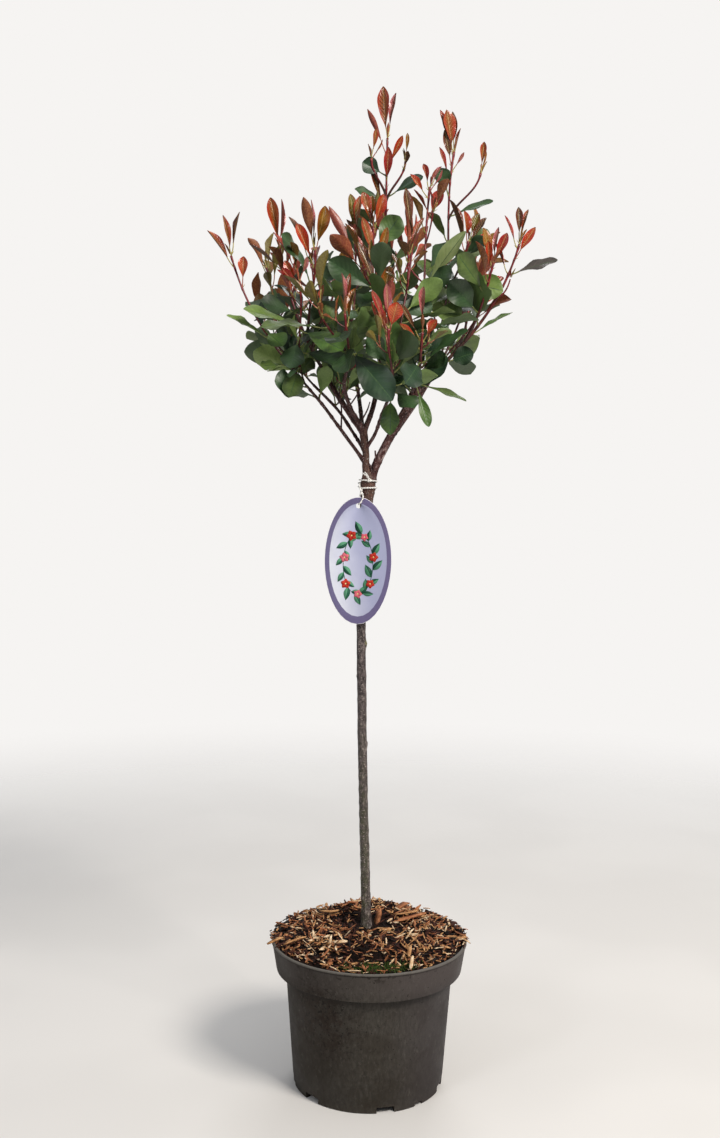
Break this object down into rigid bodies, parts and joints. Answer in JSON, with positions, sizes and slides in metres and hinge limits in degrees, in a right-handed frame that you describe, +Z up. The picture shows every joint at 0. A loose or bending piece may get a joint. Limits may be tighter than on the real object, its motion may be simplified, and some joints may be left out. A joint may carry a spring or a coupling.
{
  "type": "potted little red robin photinia",
  "caption": "Small evergreen shrub grown as a standard in a round nursery pot, with a bare stem and an open crown of green leaves and red young shoots.",
  "frame": {"origin": "middle of the pot's flat underside, at ground level", "axes": "+Z up along the pot's axis, -Y towards the side that shows the tag, +X to the right of that side"},
  "size_m": [0.3137, 0.2816, 0.951],
  "materials": {
    "pot_plastic": "matte, dusty",
    "compost": "rough wood-chip mulch",
    "bark": "fine rough bark",
    "foliage": "glossy leaves",
    "tag_card": "gloss",
    "string": "soft twine"
  },
  "bodies": {
    "root": {"pot": "pot_plastic", "compost": "compost", "trunk": "bark", "bough_right_main": "bark", "bough_left_main": "bark", "bough_centre": "bark", "bough_front_left": "bark", "bough_back": "bark", "bough_left_low": "bark", "bough_left_back": "bark", "bough_front": "bark", "bough_right_back": "bark", "bough_right_inner": "bark", "bough_right_upper": "bark", "foliage_left_low": "foliage", "foliage_left_main": "foliage", "foliage_front_left": "foliage", "foliage_front": "foliage", "foliage_centre": "foliage", "foliage_right_inner": "foliage", "foliage_right_main": "foliage", "foliage_right_upper": "foliage", "foliage_right_back": "foliage", "foliage_back": "foliage", "foliage_left_back": "foliage", "tag": "tag_card", "tag_string": "string"}
  },
  "joints": []
}
